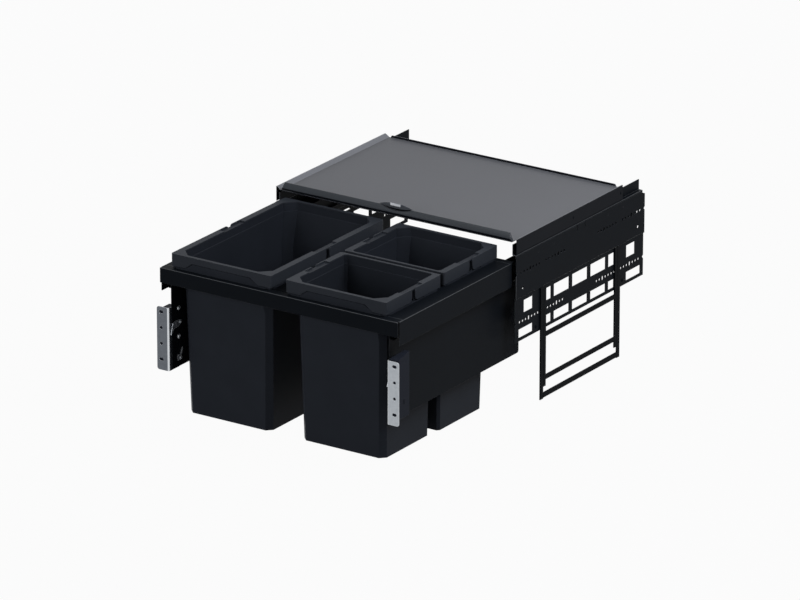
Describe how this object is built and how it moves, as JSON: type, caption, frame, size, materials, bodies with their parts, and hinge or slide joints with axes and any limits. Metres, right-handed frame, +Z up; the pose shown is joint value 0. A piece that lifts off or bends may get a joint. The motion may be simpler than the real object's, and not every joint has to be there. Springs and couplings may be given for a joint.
{
  "type": "pull-out waste bin unit",
  "caption": "Pull-out waste unit for a kitchen base cabinet: lift-out bins with bail handles in a drawer frame on runners, under a sliding cover between legged side plates.",
  "frame": {"origin": "on the cabinet floor, midway between the side plates and at the middle of their length", "axes": "+Z up, -Y towards the cabinet's front and the user, +X to the right seen from the front; stored with the drawer fully open towards -Y"},
  "size_m": [0.558, 0.8581, 0.3703],
  "materials": {
    "bin_plastic": "fine moulded grain",
    "bail_plastic": "fine moulded grain",
    "coated_steel": "satin powder coat",
    "cover_coat": "satin powder coat",
    "edge_coat": "satin",
    "lip_plastic": "satin moulded",
    "bracket_steel": "zinc-plated",
    "fixing_steel": "zinc-plated",
    "housing_plastic": "moulded",
    "glide_plastic": "smooth",
    "badge_plastic": "gloss"
  },
  "bodies": {
    "cabinet_frame": {"side_plate_left": "coated_steel", "side_plate_right": "coated_steel", "inner_leg_front_post_left": "coated_steel", "inner_leg_front_post_right": "coated_steel", "inner_leg_rear_post_left": "coated_steel", "inner_leg_rear_post_right": "coated_steel", "inner_leg_upper_bar_left": "coated_steel", "inner_leg_upper_bar_right": "coated_steel", "inner_leg_lower_bar_left": "coated_steel", "inner_leg_lower_bar_right": "coated_steel", "cover_track_left": "coated_steel", "cover_track_right": "coated_steel", "cabinet_runner_left": "coated_steel", "cabinet_runner_right": "coated_steel", "runner_carrier_left": "coated_steel", "runner_carrier_right": "coated_steel", "leg_clamp_screws": "coated_steel", "track_rivets": "coated_steel"},
    "outer_leg_left": {"outer_leg_front_post_left": "coated_steel", "outer_leg_rear_post_left": "coated_steel", "outer_leg_bottom_bar_left": "coated_steel"},
    "middle_runner_left": {"middle_runner_left": "coated_steel"},
    "outer_leg_right": {"outer_leg_front_post_right": "coated_steel", "outer_leg_rear_post_right": "coated_steel", "outer_leg_bottom_bar_right": "coated_steel"},
    "middle_runner_right": {"middle_runner_right": "coated_steel"},
    "cover": {"cover_sheet": "cover_coat", "cover_edge_left": "edge_coat", "cover_edge_right": "edge_coat", "cover_lip": "lip_plastic", "cover_grip": "lip_plastic", "cover_badge": "badge_plastic", "cover_glides": "glide_plastic", "cover_screws": "coated_steel"},
    "drawer": {"front_rail": "coated_steel", "rear_rail": "coated_steel", "centre_rail": "coated_steel", "side_rail_left": "coated_steel", "side_rail_right": "coated_steel", "side_panel_left": "coated_steel", "side_panel_right": "coated_steel", "drawer_runner_left": "coated_steel", "drawer_runner_right": "coated_steel", "fixing_bracket_left": "bracket_steel", "fixing_bracket_right": "bracket_steel", "bracket_housing_left": "housing_plastic", "bracket_housing_right": "housing_plastic", "panel_screws": "fixing_steel", "adjusting_cams": "fixing_steel"},
    "large_bin": {"large_bin": "bin_plastic"},
    "large_bin_bail_front": {"large_bin_bail_front": "bail_plastic"},
    "large_bin_bail_rear": {"large_bin_bail_rear": "bail_plastic"},
    "small_front_bin": {"small_front_bin": "bin_plastic"},
    "small_front_bin_bail_front": {"small_front_bin_bail_front": "bail_plastic"},
    "small_front_bin_bail_rear": {"small_front_bin_bail_rear": "bail_plastic"},
    "small_rear_bin": {"small_rear_bin": "bin_plastic"},
    "small_rear_bin_bail_front": {"small_rear_bin_bail_front": "bail_plastic"},
    "small_rear_bin_bail_rear": {"small_rear_bin_bail_rear": "bail_plastic"}
  },
  "joints": [
    {"name": "drawer_slide", "type": "slide", "parent": "cabinet_frame", "child": "drawer", "axis": [0, 1, 0], "range_m": [0, 0.388]},
    {"name": "cover_slide", "type": "slide", "parent": "cabinet_frame", "child": "cover", "axis": [0, -1, 0], "range_m": [0, 0.19]},
    {"name": "middle_runner_slide_left", "type": "slide", "parent": "cabinet_frame", "child": "middle_runner_left", "axis": [0, 1, 0], "range_m": [0, 0.194]},
    {"name": "middle_runner_slide_right", "type": "slide", "parent": "cabinet_frame", "child": "middle_runner_right", "axis": [0, 1, 0], "range_m": [0, 0.194]},
    {"name": "leg_height_left", "type": "slide", "parent": "cabinet_frame", "child": "outer_leg_left", "axis": [0, 0, -1], "range_m": [0, 0.03]},
    {"name": "leg_height_right", "type": "slide", "parent": "cabinet_frame", "child": "outer_leg_right", "axis": [0, 0, -1], "range_m": [0, 0.03]},
    {"name": "large_bin_lift", "type": "slide", "parent": "drawer", "child": "large_bin", "axis": [0, 0, -1], "range_m": [-0.34, 0]},
    {"name": "large_bin_bail_front_hinge", "type": "hinge", "parent": "large_bin", "child": "large_bin_bail_front", "pos_m": [-0.13775, -0.4396, 0.32175], "axis": [1, 0, 0], "range_deg": [-90, 0]},
    {"name": "large_bin_bail_rear_hinge", "type": "hinge", "parent": "large_bin", "child": "large_bin_bail_rear", "pos_m": [-0.13775, -0.4036, 0.32175], "axis": [-1, 0, 0], "range_deg": [-90, 0]},
    {"name": "small_front_bin_lift", "type": "slide", "parent": "drawer", "child": "small_front_bin", "axis": [0, 0, -1], "range_m": [-0.34, 0]},
    {"name": "small_front_bin_bail_front_hinge", "type": "hinge", "parent": "small_front_bin", "child": "small_front_bin_bail_front", "pos_m": [0.124, -0.53735, 0.32175], "axis": [1, 0, 0], "range_deg": [-90, 0]},
    {"name": "small_front_bin_bail_rear_hinge", "type": "hinge", "parent": "small_front_bin", "child": "small_front_bin_bail_rear", "pos_m": [0.124, -0.50135, 0.32175], "axis": [-1, 0, 0], "range_deg": [-90, 0]},
    {"name": "small_rear_bin_lift", "type": "slide", "parent": "drawer", "child": "small_rear_bin", "axis": [0, 0, -1], "range_m": [-0.34, 0]},
    {"name": "small_rear_bin_bail_front_hinge", "type": "hinge", "parent": "small_rear_bin", "child": "small_rear_bin_bail_front", "pos_m": [0.124, -0.34185, 0.32175], "axis": [1, 0, 0], "range_deg": [-90, 0]},
    {"name": "small_rear_bin_bail_rear_hinge", "type": "hinge", "parent": "small_rear_bin", "child": "small_rear_bin_bail_rear", "pos_m": [0.124, -0.30585, 0.32175], "axis": [-1, 0, 0], "range_deg": [-90, 0]}
  ],
  "couplings": [
    {"joint": "middle_runner_slide_left", "follows": "drawer_slide", "ratio": 0.5},
    {"joint": "middle_runner_slide_right", "follows": "drawer_slide", "ratio": 0.5}
  ]
}
